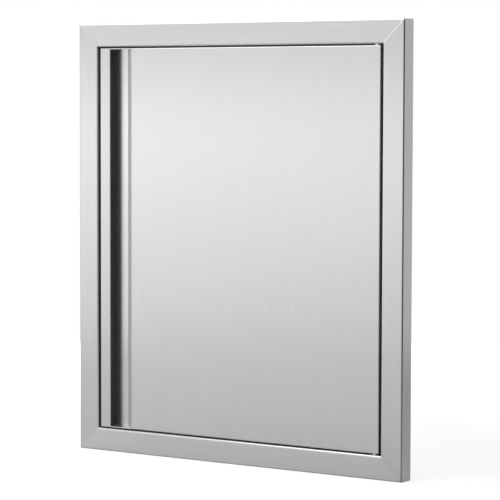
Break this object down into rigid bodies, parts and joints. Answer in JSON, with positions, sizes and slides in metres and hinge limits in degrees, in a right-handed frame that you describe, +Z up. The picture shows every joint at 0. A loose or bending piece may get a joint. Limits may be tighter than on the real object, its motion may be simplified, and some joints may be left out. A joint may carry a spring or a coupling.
{
  "type": "bbq island access door",
  "caption": "Inset steel access door in a mitred trim frame, with a full height finger pull, pin hinges with a sprung release, and a magnetic catch.",
  "frame": {"origin": "centre of the wall's cut-out, on the front plane of the wall, which the back of the trim rests on", "axes": "+X to the right seen from the front, +Y into the wall, +Z up"},
  "size_m": [0.5334, 0.0439, 0.6096],
  "materials": {
    "trim_steel": "brushed stainless steel, grain along each member",
    "door_steel": "brushed stainless steel, upright grain",
    "liner_steel": "plain mill finish stainless sheet",
    "inner_steel": "plain folded and machined steel",
    "pin_steel": "bright turned stainless steel",
    "spring_steel": "drawn spring wire",
    "screw_steel": "stainless screws",
    "bush_nylon": "natural nylon",
    "catch_plastic": "black moulded plastic",
    "magnet_ferrite": "sintered ferrite",
    "bumper_rubber": "black rubber"
  },
  "bodies": {
    "frame": {"top_rail": "trim_steel", "bottom_rail": "trim_steel", "left_stile": "trim_steel", "right_stile": "trim_steel", "corner_gussets": "inner_steel", "upper_hinge_plate": "inner_steel", "lower_hinge_plate": "inner_steel", "upper_hinge_bush": "bush_nylon", "lower_hinge_pin": "pin_steel", "catch_housing": "catch_plastic", "catch_magnet": "magnet_ferrite", "catch_pole_plates": "inner_steel", "catch_screws": "screw_steel", "door_bumpers": "bumper_rubber"},
    "door": {"door_skin": "door_steel", "pull_edge": "door_steel", "pull_cap_top": "door_steel", "pull_cap_bottom": "door_steel", "door_liner": "liner_steel", "door_stiffener": "inner_steel", "liner_screws": "screw_steel", "lower_hinge_block": "inner_steel", "lower_hinge_bush": "bush_nylon", "upper_pin_housing": "inner_steel", "spring_plug": "inner_steel", "strike_plate": "inner_steel", "strike_screws": "screw_steel", "pin_spring": "spring_steel"},
    "upper_pin": {"upper_hinge_pin": "pin_steel", "release_knob": "pin_steel"}
  },
  "joints": [
    {"name": "door_hinge", "type": "hinge", "parent": "frame", "child": "door", "pos_m": [0.2215, -0.0174, 0], "axis": [0, 0, 1], "range_deg": [0, 110]},
    {"name": "upper_pin_release", "type": "slide", "parent": "door", "child": "upper_pin", "axis": [0, 0, -1], "range_m": [0, 0.0075], "stiffness_N_per_m": 600, "springref_m": -0.006, "deforming": ["pin_spring"]}
  ]
}
